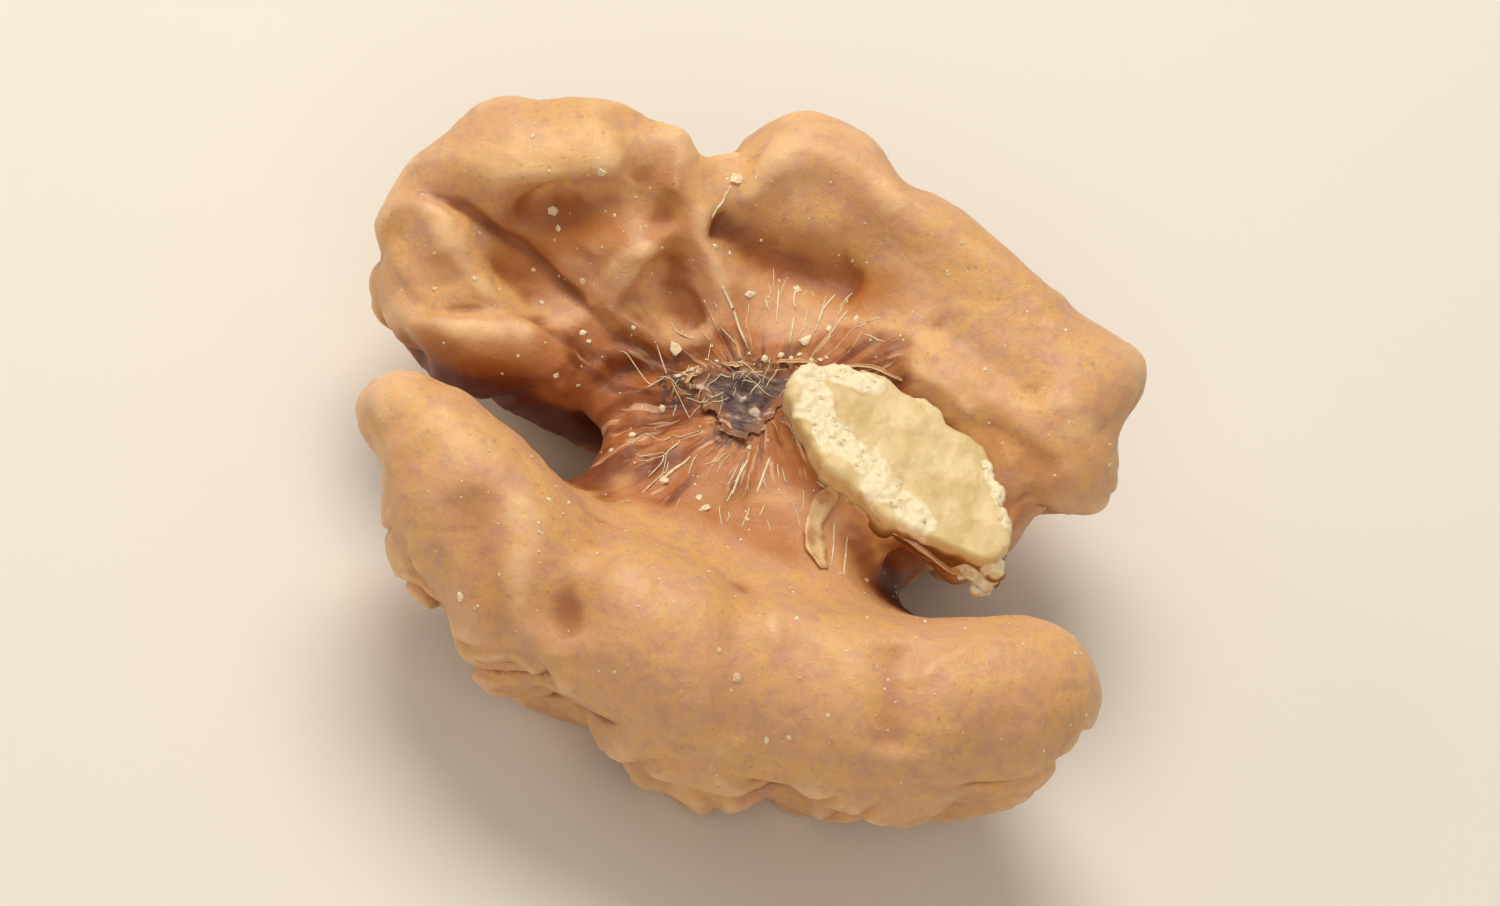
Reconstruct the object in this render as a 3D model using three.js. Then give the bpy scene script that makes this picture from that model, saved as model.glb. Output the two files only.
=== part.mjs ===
// One half of a shelled walnut kernel, lying on its rounded back with its inner face up.
// It grew as one piece: two folded lobes joined by a bridge, with a broken stub where the other half sat.
// Millimetres. +X runs along the cleft towards the kernel's tip, +Y to the far lobe, +Z up. z = 0 is the table.
import * as THREE from "three";

// Driving dimensions: along the cleft, across both lobes, and from the table to the highest rim.
const LENGTH = 34.2;
const WIDTH = 29;
const HEIGHT = 13.6;

const PRESSED = 0.6; // how much of the lowest folds is flat, where the kernel lies on them
const CREASE = 1.25; // half the width of a crease between two folds
const FORK = 0.95; // and of the lesser creases that branch off it
const SHALLOWEST = 0.05; // depth at which a crease is taken to have run out
const FAN = [168, 12]; // a lobe's creases fan out from this angle at the base to this one at the tip, in degrees

const LOBE_BLEND = 0.8; // how softly the swellings of the kernel run together
const FOLD_BLEND = 0.35; // how round the folds are beside a crease
const STUB_BLEND = 0.2; // and the edges of the stub

const CELL = 0.8; // edge of the sampling grid
const SPACE = new THREE.Box3(new THREE.Vector3(-20, -18, -2), new THREE.Vector3(20, 18, 17));
const FILLED = -0.001; // distance written where the grid is filled to mend it
const BEADS = 12; // pieces that a strand is measured in
const RELAX_PASSES = 4;
const SKIN_STEPS = 14;
const REACH = 0.05; // how far to each side a slope is measured

const { clamp, degToRad, lerp } = THREE.MathUtils;

// The far lobe. Its swellings are strands of [x, y, z, radius]: the rolled rim, the lower fold of the
// inner face, the slope to the bridge, the shoulder over it, the belly, the side of the back furrow, and
// the flank.
// Its creases and forks run over the flank and the back as stops of [along, turn, depth]: along the axis
// from 0 to 1, and round it in degrees, 0 outwards and -90 down.
// Its wrinkles lie on the upper face as [half width, stops of [x, y, depth]].
const farLobe = {
  side: 1,
  axis: [[-12.4, 4.6, 7.6], [-6, 6, 6.6], [0, 6.6, 6.4], [6, 5.6, 6.6], [10.3, 4.2, 7.6]],
  swellings: [
    [[-15, 5, 9.9, 2.5], [-12.4, 6.9, 10.3, 3.1], [-8.8, 8.1, 10.5, 3.3], [-5.4, 7.7, 10.5, 3],
      [-2.6, 9.7, 10.6, 3.3], [0.4, 10.1, 10.6, 3.5], [3.6, 9.3, 10.4, 3.5], [7.1, 7.9, 10.1, 3.4],
      [10.2, 6.4, 9.7, 3.3], [11.4, 4.4, 8.9, 2.8]],
    [[-14.6, 2.6, 7.8, 2.3], [-11.8, 1.6, 7.6, 2.6], [-8.8, 2.1, 7.4, 2.3], [-5.6, 3, 6.9, 2.1]],
    [[-3, 4.4, 6.6, 3], [2, 4.6, 6.8, 3], [7, 3.8, 7, 3], [10, 3, 7.2, 2.5]],
    [[-0.6, 7.6, 7.6, 2.4], [3, 6.8, 8.2, 2.8], [6.6, 5.4, 8.6, 2.9], [9.8, 4, 8.5, 2.7]],
    [[-11, 5.5, 5.2, 3.3], [-6, 7, 4.4, 3.9], [0, 7.8, 4.3, 4], [6, 6.6, 4.4, 3.9], [9.6, 4.6, 5.2, 3.3]],
    [[-8.4, 3.2, 5, 2.6], [0, 3.9, 4.2, 3], [8, 3.2, 5, 2.6]],
    [[-12, 7.2, 7.6, 3.2], [-6, 9.2, 7.2, 3.6], [0, 10.1, 7, 3.7], [6, 8.9, 7.2, 3.6], [10.4, 6, 7.6, 3.2]],
  ],
  creases: [
    [[0.03, 20, 0.3], [-0.01, -10, 1], [0.07, -50, 1.4], [0.17, -90, 1], [0.27, -125, 0.4]],
    [[0.19, 45, 0.3], [0.17, 10, 1.2], [0.22, -30, 1.6], [0.21, -65, 1.4], [0.31, -105, 1.2], [0.36, -145, 0.6]],
    [[0.33, 80, 0.9], [0.34, 40, 1.2], [0.35, 0, 1.5], [0.4, -40, 1.6], [0.37, -75, 1.1]],
    [[0.55, 50, 0.4], [0.53, 15, 1.2], [0.58, -20, 1.6], [0.54, -60, 1.4], [0.5, -100, 1.3], [0.52, -145, 0.8]],
    [[0.79, 45, 0.4], [0.76, 5, 1.3], [0.79, -40, 1.6], [0.7, -75, 1.2], [0.68, -115, 1], [0.64, -145, 0.6]],
    [[0.97, 30, 0.3], [0.96, -5, 1.1], [0.97, -45, 1.4], [0.88, -85, 1], [0.82, -125, 0.5]],
  ],
  forks: [
    [[0.35, 0, 1.2], [0.43, 8, 0.9], [0.46, 20, 0.2]],
    [[0.4, -40, 1.3], [0.47, -52, 1.2], [0.54, -60, 1.3]],
    [[0.79, -40, 1.3], [0.87, -30, 0.9], [0.9, -15, 0.2]],
    [[0.21, -65, 1.2], [0.13, -58, 0.8], [0.1, -40, 0.2]],
  ],
  wrinkles: [
    [1.1, [[-16.9, 4.7, 0.9], [-15.2, 4.2, 0.9], [-12.6, 3.7, 1.1], [-10.4, 2.9, 1], [-7.6, 1.7, 0.8],
      [-4.8, 0.4, 0.3]]],
    [1.2, [[-4.8, 11.2, 0.6], [-4.8, 8.6, 0.9], [-5, 6.2, 1], [-4.6, 3.8, 0.7], [-3.2, 1.2, 0.2]]],
    [1.3, [[-12, 3.8, 1], [-9.4, 4.9, 0.9], [-7, 6, 1], [-5.4, 6.2, 1]]],
    [1, [[-7, 6, 0.9], [-7.8, 8.2, 0.8], [-8.6, 10, 0.2]]],
    [2, [[-4.4, 6.8, 0.9], [-1.6, 6.2, 0.6], [2, 5.8, 0.5], [5.6, 5.4, 0.35], [8.8, 4.4, 0.2]]],
    [1, [[-16.4, 2, 0.3], [-14.4, 1, 0.6], [-11, 0.6, 0.5], [-8, 0.6, 0.2]]],
  ],
};

// The near lobe, told in the same way. Its swellings are the crest, the slope to the bridge, the belly,
// the side of the furrow, and the flank.
const nearLobe = {
  side: -1,
  axis: [[-10.8, -7, 7.4], [-6, -8.2, 6.4], [0, -8.6, 6.2], [6, -8.4, 6.4], [11.2, -7, 7.4]],
  swellings: [
    [[-13.1, -5.6, 10.1, 2.1], [-10.9, -6.7, 9.6, 3], [-7.6, -9.1, 8.8, 3.5], [-4.2, -10.2, 8.6, 3.6],
      [-0.5, -10.6, 8.6, 3.6], [4.4, -10.6, 8.6, 3.6], [8.5, -9.9, 8.7, 3.6], [11.6, -8.6, 8.9, 3.6],
      [13.2, -7.2, 9.2, 3.1]],
    [[-11.4, -5.6, 6.3, 1.9], [-7, -7.6, 6, 2.5], [-2, -6.6, 6.2, 2.8], [3, -6.4, 6.3, 2.9], [7, -7.6, 6.3, 2.5]],
    [[-7.8, -7.2, 5.4, 2.8], [-4.2, -8.6, 4.6, 3.6], [0, -9.4, 4.4, 3.9], [5, -9.4, 4.4, 3.9], [9, -8.4, 4.8, 3.7],
      [11.6, -6.8, 5.9, 3]],
    [[-7, -5.8, 5.2, 2.4], [0, -5.6, 4.3, 2.9], [7, -5.8, 4.9, 2.6]],
    [[-9, -8, 7.4, 2.6], [-4.6, -10, 6.7, 3.3], [0, -10.7, 6.5, 3.5], [6, -10.5, 6.7, 3.5], [11, -8.4, 7.3, 3.2]],
  ],
  creases: [
    [[0.03, 30, 0.2], [0, -5, 0.8], [0.07, -45, 1.2], [0.18, -90, 0.9], [0.26, -130, 0.4]],
    [[0.24, 60, 0.3], [0.24, 25, 0.5], [0.23, -10, 1.1], [0.27, -50, 1.5], [0.25, -80, 1.1], [0.36, -120, 0.7]],
    [[0.43, 40, 0.2], [0.44, 10, 0.7], [0.43, -20, 1.3], [0.47, -60, 1.5], [0.48, -100, 1.2], [0.5, -145, 0.8]],
    [[0.63, 70, 0.35], [0.61, 35, 0.45], [0.63, 0, 0.8], [0.66, -35, 1.4], [0.63, -70, 1.3], [0.66, -110, 0.8]],
    [[0.82, 40, 0.3], [0.83, 0, 0.9], [0.8, -40, 1.4], [0.8, -80, 1.1], [0.72, -120, 0.6]],
    [[0.98, 10, 0.3], [0.98, -25, 1.1], [0.96, -65, 1.2], [0.86, -105, 0.6]],
  ],
  forks: [
    [[0.47, -60, 1.3], [0.39, -52, 1.1], [0.35, -36, 0.3]],
    [[0.66, -35, 1.2], [0.73, -48, 1], [0.8, -40, 1.2]],
    [[0.25, -80, 1.1], [0.17, -74, 0.7], [0.14, -60, 0.2]],
  ],
  wrinkles: [[1.2, [[-4.8, -8.4, 0.3], [-5.2, -10.6, 0.4], [-4.6, -13, 0.3]]]],
};

// The bridge under the cleft: one strand along it and two across.
const bridge = [
  [[-3.8, -1.6, 6.8, 1.8], [0, -1.2, 6.7, 2.3], [3.6, -0.8, 6.8, 2.4], [6.4, -0.2, 6.9, 2]],
  [[-2.8, -7.4, 6.2, 2.2], [-1.4, -4.4, 6.3, 2.3], [-0.8, -1.4, 6.4, 2.4], [-1.4, 1.6, 6.5, 2.4],
    [-3, 4.6, 6.6, 2.4]],
  [[4, -7, 6.4, 2.5], [3.4, -3.4, 6.5, 2.4], [3.6, 0.6, 6.6, 2.5], [5, 5, 6.8, 2.7]],
];

// The broken stub: a flat-topped scrap of bare flesh that hangs over the notch at the tip.
// Its outline has stations of [x, y, 0, radius].
const stub = {
  outline: [[1.6, 1.2, 0, 1], [3.6, 0.9, 0, 2.3], [6.4, 0.1, 0, 2.8], [8.8, -1.1, 0, 2.2], [10.4, -2.2, 0, 1.1]],
  middle: 9.9,
  halfThickness: 1.3,
};

const softMin = (a, b, blend) => -blend * Math.log(Math.exp(-a / blend) + Math.exp(-b / blend));
const softMax = (a, b, blend) => -softMin(-a, -b, blend);

const curveThrough = (stops) =>
  new THREE.CatmullRomCurve3(stops.map((stop) => new THREE.Vector3(...stop)), false, "centripetal");

// A smooth strand of beads through stations of [x, y, z, radius].
function strand(stations) {
  const path = curveThrough(stations);
  const size = new THREE.SplineCurve(stations.map((station, i) => new THREE.Vector2(i, station[3])));
  return Array.from({ length: BEADS + 1 }, (_, i) => {
    const t = i / BEADS;
    return { centre: path.getPoint(t), radius: size.getPoint(t).y };
  });
}

// How far a point is from a strand's skin. Less than 0 is inside it.
function strandDistance(beads, x, y, z) {
  let nearest = Infinity;
  for (let i = 1; i < beads.length; i++) {
    const a = beads[i - 1];
    const b = beads[i];
    const ex = b.centre.x - a.centre.x;
    const ey = b.centre.y - a.centre.y;
    const ez = b.centre.z - a.centre.z;
    const px = x - a.centre.x;
    const py = y - a.centre.y;
    const pz = z - a.centre.z;
    const t = clamp((px * ex + py * ey + pz * ez) / (ex * ex + ey * ey + ez * ez), 0, 1);
    const d = Math.hypot(px - t * ex, py - t * ey, pz - t * ez) - lerp(a.radius, b.radius, t);
    nearest = Math.min(nearest, d);
  }
  return nearest;
}

const body = [...farLobe.swellings, ...nearLobe.swellings, ...bridge].map(strand);
function bodyDistance(x, y, z) {
  let sum = 0;
  for (const beads of body) sum += Math.exp(-strandDistance(beads, x, y, z) / LOBE_BLEND);
  return -LOBE_BLEND * Math.log(sum);
}

// Walks from a point straight along a direction to the skin.
function toSkin(start, direction) {
  const p = start.clone();
  for (let step = 0; step < SKIN_STEPS; step++) p.addScaledVector(direction, -bodyDistance(p.x, p.y, p.z));
  return p;
}

// A place on a lobe's flank or back.
function onFlank(lobe, along, turn) {
  const start = curveThrough(lobe.axis).getPoint(clamp(along, 0, 1));
  const fan = degToRad(lerp(...FAN, along));
  const tilt = degToRad(turn);
  const level = new THREE.Vector3(Math.cos(fan), lobe.side * Math.sin(fan), 0);
  const out = level.multiplyScalar(Math.cos(tilt)).setZ(Math.sin(tilt));
  return { skin: toSkin(start, out), out };
}

// A place on the upper face, found from above.
function onFace(x, y) {
  const out = new THREE.Vector3(0, 0, 1);
  return { skin: toSkin(new THREE.Vector3(x, y, SPACE.max.z), out), out };
}

// A crease is the groove that a round strand leaves in the skin. The strand lies so that it cuts as deep
// and as wide as asked.
function crease(stops, halfWidth, place) {
  return curveThrough(stops).getPoints(4 * (stops.length - 1)).map((stop) => {
    const { skin, out } = place(stop.x, stop.y);
    const depth = Math.max(stop.z, SHALLOWEST);
    const radius = (halfWidth ** 2 + depth ** 2) / (2 * depth);
    return { centre: skin.addScaledVector(out, radius - depth), radius };
  });
}

const creases = [];
for (const lobe of [farLobe, nearLobe]) {
  const flank = (along, turn) => onFlank(lobe, along, turn);
  for (const stops of lobe.creases) creases.push(crease(stops, CREASE, flank));
  for (const stops of lobe.forks) creases.push(crease(stops, FORK, flank));
  for (const [halfWidth, stops] of lobe.wrinkles) creases.push(crease(stops, halfWidth, onFace));
}

const stubOutline = strand(stub.outline);
function stubDistance(x, y, z) {
  const side = strandDistance(stubOutline, x, y, 0);
  const face = Math.abs(z - stub.middle) - stub.halfThickness;
  return softMax(side, face, STUB_BLEND);
}

// How far a point is from the kernel's skin, near it. Less than 0 is inside.
function kernelDistance(x, y, z) {
  let groove = Infinity;
  for (const beads of creases) groove = Math.min(groove, strandDistance(beads, x, y, z));
  return softMin(softMax(bodyDistance(x, y, z), -groove, FOLD_BLEND), stubDistance(x, y, z), STUB_BLEND);
}

function gradient(p, out) {
  out.set(
    kernelDistance(p.x + REACH, p.y, p.z) - kernelDistance(p.x - REACH, p.y, p.z),
    kernelDistance(p.x, p.y + REACH, p.z) - kernelDistance(p.x, p.y - REACH, p.z),
    kernelDistance(p.x, p.y, p.z + REACH) - kernelDistance(p.x, p.y, p.z - REACH),
  );
  return out.divideScalar(2 * REACH);
}

// The kernel's distance at each point of a grid, and the cells between the points.
function sampleGrid() {
  const [nx, ny, nz] = SPACE.getSize(new THREE.Vector3()).divideScalar(CELL).ceil().addScalar(1);
  const step = [1, nx, nx * ny];
  const value = new Float64Array(nx * ny * nz);
  const cells = [];
  for (let k = 0; k < nz; k++) {
    for (let j = 0; j < ny; j++) {
      for (let i = 0; i < nx; i++) {
        const q = i + j * step[1] + k * step[2];
        value[q] = kernelDistance(SPACE.min.x + i * CELL, SPACE.min.y + j * CELL, SPACE.min.z + k * CELL);
        if (i < nx - 1 && j < ny - 1 && k < nz - 1) cells.push(q);
      }
    }
  }
  return { value, step, cells };
}

// Fills points of the grid where full ones, or empty ones, meet only across a diagonal. Without them the
// skin would touch itself along an edge or at a point.
function mendGrid({ value, step, cells }) {
  const full = (q) => value[q] < 0;
  let filled = true;
  const fill = (q) => {
    value[q] = FILLED;
    filled = true;
  };
  while (filled) {
    filled = false;
    for (const q of cells) {
      for (const [a, b] of [[0, 1], [1, 2], [2, 0]]) {
        const face = [q, q + step[a], q + step[b], q + step[a] + step[b]];
        const [p0, p1, p2, p3] = face.map(full);
        if (p0 !== p3 || p1 !== p2 || p0 === p1) continue;
        const [gapA, gapB] = face.filter((g) => !full(g));
        fill(value[gapA] < value[gapB] ? gapA : gapB);
      }
      const floor = [q, q + step[0], q + step[1], q + step[0] + step[1]];
      const corners = [...floor, ...floor.map((g) => g + step[2])];
      for (let m = 0; m < 4; m++) {
        const pair = [corners[m], corners[7 - m]];
        const rest = corners.filter((g) => !pair.includes(g));
        if (pair.every(full) && !rest.some(full)) fill(rest[0]);
        else if (!pair.some(full) && rest.every(full)) fill(pair[0]);
      }
    }
  }
}

// Surface nets: a point in each cell that the skin crosses, and a quad round each grid edge that it crosses.
function skinOf({ value, step, cells }) {
  const [nx, ny] = [step[1], step[2] / step[1]];
  const pointOf = new Map();
  const points = [];
  for (const q of cells) {
    const sum = new THREE.Vector3();
    let crossings = 0;
    for (let axis = 0; axis < 3; axis++) {
      const [u, v] = [(axis + 1) % 3, (axis + 2) % 3];
      for (const [du, dv] of [[0, 0], [1, 0], [0, 1], [1, 1]]) {
        const from = q + du * step[u] + dv * step[v];
        const [a, b] = [value[from], value[from + step[axis]]];
        if (a < 0 === b < 0) continue;
        const p = new THREE.Vector3().setComponent(axis, a / (a - b)).setComponent(u, du).setComponent(v, dv);
        sum.add(p);
        crossings++;
      }
    }
    if (crossings === 0) continue;
    const cell = new THREE.Vector3(q % nx, Math.floor(q / nx) % ny, Math.floor(q / step[2]));
    pointOf.set(q, points.length);
    points.push(sum.divideScalar(crossings).add(cell).multiplyScalar(CELL).add(SPACE.min));
  }
  const quads = [];
  for (const q of cells) {
    for (let axis = 0; axis < 3; axis++) {
      const leaves = value[q] < 0;
      if (leaves === value[q + step[axis]] < 0) continue;
      const [u, v] = [step[(axis + 1) % 3], step[(axis + 2) % 3]];
      const ring = [q, q - u, q - u - v, q - v].map((cell) => pointOf.get(cell));
      quads.push(leaves ? ring : ring.reverse());
    }
  }
  return { points, quads };
}

// Draws the points onto the skin and evens them out along it.
function relax(points, quads) {
  const beside = points.map(() => new Set());
  for (const [a, b, c, d] of quads) {
    beside[a].add(b).add(d);
    beside[b].add(a).add(c);
    beside[c].add(b).add(d);
    beside[d].add(c).add(a);
  }
  const slope = new THREE.Vector3();
  for (let pass = 0; pass < RELAX_PASSES; pass++) {
    const moved = points.map((p, i) => {
      const pull = new THREE.Vector3();
      for (const j of beside[i]) pull.add(points[j]);
      pull.divideScalar(beside[i].size).sub(p);
      gradient(p, slope).normalize();
      pull.addScaledVector(slope, -pull.dot(slope));
      return p.clone().addScaledVector(pull, 0.5);
    });
    moved.forEach((p, i) => {
      gradient(p, slope);
      const step = -kernelDistance(p.x, p.y, p.z) / Math.max(slope.lengthSq(), 0.1);
      points[i].copy(p.addScaledVector(slope, clamp(step, -CELL / 2, CELL / 2)));
    });
  }
}

// Fits the points to the driving dimensions, and presses the lowest folds flat.
function fit(points) {
  const box = new THREE.Box3().setFromPoints(points);
  const middle = box.getCenter(new THREE.Vector3()).setZ(box.min.z);
  const scale = new THREE.Vector3(LENGTH, WIDTH, HEIGHT + PRESSED).divide(box.getSize(new THREE.Vector3()));
  for (const p of points) {
    p.sub(middle).multiply(scale);
    p.z = Math.max(0, p.z - PRESSED);
  }
}

function geometryOf(points, quads) {
  const index = [];
  for (const [a, b, c, d] of quads) {
    if (points[a].distanceTo(points[c]) < points[b].distanceTo(points[d])) index.push(a, b, c, a, c, d);
    else index.push(b, c, d, b, d, a);
  }
  const geometry = new THREE.BufferGeometry().setFromPoints(points);
  geometry.setIndex(index);
  geometry.computeVertexNormals();
  return geometry;
}

const grid = sampleGrid();
mendGrid(grid);
const { points, quads } = skinOf(grid);
relax(points, quads);
fit(points);

const skin = new THREE.MeshStandardMaterial({ color: 0xb9854c, roughness: 0.5, metalness: 0 });
const kernel = new THREE.Mesh(geometryOf(points, quads), skin);
kernel.name = "kernel";

const walnut = new THREE.Group();
walnut.add(kernel);
export default walnut;
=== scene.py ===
import bmesh
import bpy
import math
import random
import numpy as np
from mathutils import Matrix, Vector, noise
from mathutils.bvhtree import BVHTree
from mathutils.kdtree import KDTree


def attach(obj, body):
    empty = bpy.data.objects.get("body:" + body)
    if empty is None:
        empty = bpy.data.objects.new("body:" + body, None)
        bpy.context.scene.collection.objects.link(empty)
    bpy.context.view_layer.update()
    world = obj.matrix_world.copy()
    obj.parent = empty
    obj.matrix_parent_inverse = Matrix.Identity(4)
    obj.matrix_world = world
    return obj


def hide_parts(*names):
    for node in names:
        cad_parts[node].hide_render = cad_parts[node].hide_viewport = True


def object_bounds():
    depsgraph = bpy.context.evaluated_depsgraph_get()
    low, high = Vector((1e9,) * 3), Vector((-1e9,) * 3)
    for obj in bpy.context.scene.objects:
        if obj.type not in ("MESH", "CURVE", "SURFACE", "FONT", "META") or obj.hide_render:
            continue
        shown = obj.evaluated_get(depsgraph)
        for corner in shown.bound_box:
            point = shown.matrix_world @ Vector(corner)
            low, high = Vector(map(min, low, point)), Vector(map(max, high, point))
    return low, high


# Half of a shelled walnut kernel, seen on its inner face.
# It is carved in millimetres, in the part's own frame: +X to the tip, +Y to the far lobe, +Z up.

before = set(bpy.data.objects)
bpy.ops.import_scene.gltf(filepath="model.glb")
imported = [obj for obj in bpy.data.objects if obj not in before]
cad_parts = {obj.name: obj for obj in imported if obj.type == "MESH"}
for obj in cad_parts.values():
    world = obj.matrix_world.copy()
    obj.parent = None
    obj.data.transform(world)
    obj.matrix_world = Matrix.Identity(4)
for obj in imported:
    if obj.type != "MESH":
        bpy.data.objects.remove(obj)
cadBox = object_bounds()
mm = 0.001
down = Vector((0, 0, -1))
scene = bpy.context.scene


def srgb(hexCode):
    channels = [int(hexCode[i:i + 2], 16) / 255 for i in (1, 3, 5)]
    linear = [c / 12.92 if c <= 0.04045 else ((c + 0.055) / 1.055) ** 2.4 for c in channels]
    return (*linear, 1.0)


def noiseAt(points, size, seed):
    # smooth noise, about -1 to 1, with a bump every `size` millimetres
    shift = Vector((seed * 7.31, seed * 3.17, seed * 5.73))
    return np.array([noise.noise(Vector(p) / size + shift) for p in points])


def fade(value, low, high):
    t = np.clip((value - low) / (high - low), 0, 1)
    return t * t * (3 - 2 * t)


def smoothLine(stops, step=0.25):
    # a smooth curve through the stops, as points about `step` apart
    p = np.array([stops[0], *stops, stops[-1]], float)
    p[0] = 2 * p[1] - p[2]
    p[-1] = 2 * p[-2] - p[-3]
    line = []
    for a, b, c, d in zip(p, p[1:], p[2:], p[3:]):
        count = max(2, round(np.linalg.norm(c - b) / step))
        for t in np.arange(count) / count:
            line.append(0.5 * (2 * b + (c - a) * t + (2 * a - 5 * b + 4 * c - d) * t ** 2
                               + (3 * b - a - 3 * c + d) * t ** 3))
    return np.array([*line, p[-2]])


def distanceToLine(points, line):
    # distance from each point to a line, and how far along the line it is nearest, 0 to 1
    nearest = np.full(len(points), np.inf)
    along = np.zeros(len(points))
    for i, (a, b) in enumerate(zip(line, line[1:])):
        edge = b - a
        t = np.clip((points - a) @ edge / max(edge @ edge, 1e-9), 0, 1)
        d = np.linalg.norm(points - a - t[:, None] * edge, axis=1)
        closer = d < nearest
        nearest[closer] = d[closer]
        along[closer] = (i + t[closer]) / (len(line) - 1)
    return nearest, along


def insideOutline(points, outline):
    # which points lie inside a closed outline, seen from above
    x, y = points[:, 0], points[:, 1]
    inside = np.zeros(len(points), bool)
    for (ax, ay), (bx, by) in zip(outline, outline[1:] + outline[:1]):
        rise = (by - ay) or 1e-9
        inside ^= ((ay > y) != (by > y)) & (x < (bx - ax) * (y - ay) / rise + ax)
    return inside


class Skin:
    # a mesh as arrays, for carving
    def __init__(self, mesh):
        self.mesh = mesh
        self.points = np.empty(len(mesh.vertices) * 3)
        mesh.vertices.foreach_get("co", self.points)
        self.points = self.points.reshape(-1, 3)
        edges = np.empty(len(mesh.edges) * 2, int)
        mesh.edges.foreach_get("vertices", edges)
        edges = edges.reshape(-1, 2)
        self.ends = np.concatenate([edges[:, 0], edges[:, 1]])
        self.others = np.concatenate([edges[:, 1], edges[:, 0]])
        self.count = np.maximum(np.bincount(self.ends, minlength=len(self.points)), 1)
        self.refresh()

    def refresh(self):
        self.mesh.vertices.foreach_set("co", self.points.ravel())
        self.mesh.update()
        normals = np.empty(len(self.points) * 3)
        self.mesh.vertex_normals.foreach_get("vector", normals)
        self.normals = normals.reshape(-1, 3)

    def average(self, values):
        if values.ndim == 1:
            return np.bincount(self.ends, values[self.others], len(self.points)) / self.count
        return np.stack([self.average(column) for column in values.T], axis=1)

    def smoothed(self, values, passes):
        for _ in range(passes):
            values = 0.5 * values + 0.5 * self.average(values)
        return values

    def standsOut(self, passes):
        # how far each point stands out of a smoother skin: less than 0 in a hollow
        return ((self.points - self.smoothed(self.points, passes)) * self.normals).sum(axis=1)

    def push(self, amount):
        # moves every point out along its normal by `amount` millimetres
        self.points = self.points + self.normals * amount[:, None]
        self.refresh()

    def settle(self, passes, weight=1.0):
        weight = np.broadcast_to(np.asarray(weight, float), (len(self.points),))[:, None]
        self.points = self.points + weight * (self.smoothed(self.points, passes) - self.points)
        self.refresh()

    def tree(self):
        faces = [tuple(f.vertices) for f in self.mesh.polygons]
        return BVHTree.FromPolygons([Vector(p) for p in self.points], faces)

    def store(self, name, values):
        kind = "FLOAT" if values.ndim == 1 else "FLOAT_VECTOR"
        attribute = self.mesh.attributes.new(name, kind, "POINT")
        attribute.data.foreach_set("value" if values.ndim == 1 else "vector", values.astype(float).ravel())


def meshFrom(name, points, faces):
    mesh = bpy.data.meshes.new(name)
    mesh.from_pydata([tuple(p) for p in points], [], [tuple(f) for f in faces])
    mesh.update()
    return mesh


def remeshed(mesh, voxel, rounding=0):
    # one closed skin round everything in the mesh
    work = bpy.data.objects.new("work", mesh)
    scene.collection.objects.link(work)
    if rounding:
        work.modifiers.new("rounding", "SUBSURF").levels = rounding
    fine = work.modifiers.new("fine skin", "REMESH")
    fine.mode = "VOXEL"
    fine.voxel_size = voxel
    depsgraph = bpy.context.evaluated_depsgraph_get()
    result = bpy.data.meshes.new_from_object(work.evaluated_get(depsgraph))
    bpy.data.objects.remove(work)
    return result


def nearestOf(points):
    tree = KDTree(len(points))
    for i, p in enumerate(points):
        tree.insert(Vector(p), i)
    tree.balance()
    return tree


def finishPiece(name, mesh, material):
    # from millimetres to a piece of the object
    mesh.transform(Matrix.Scale(mm, 4))
    mesh.materials.clear()
    mesh.materials.append(material)
    mesh.shade_smooth()
    piece = bpy.data.objects.new(name, mesh)
    scene.collection.objects.link(piece)
    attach(piece, "root")
    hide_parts("kernel")
    return piece


def newMaterial(name):
    material = bpy.data.materials.new(name)
    material.use_nodes = True
    nodes = material.node_tree.nodes
    nodes.clear()
    output = nodes.new("ShaderNodeOutputMaterial")
    shader = nodes.new("ShaderNodeBsdfPrincipled")
    material.node_tree.links.new(shader.outputs[0], output.inputs["Surface"])
    return material, shader


def addNode(material, kind, settings=None, links=None):
    # settings: node properties, or socket values by name or number. links: socket to the output that feeds it
    node = material.node_tree.nodes.new(kind)
    for name, value in (settings or {}).items():
        if isinstance(name, str) and hasattr(node, name):
            setattr(node, name, value)
        else:
            node.inputs[name].default_value = value
    for name, source in (links or {}).items():
        material.node_tree.links.new(source, node.inputs[name])
    return node


def per(size):
    # texture scale for a pattern that repeats every `size` millimetres
    return 1 / (size * mm)


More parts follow.
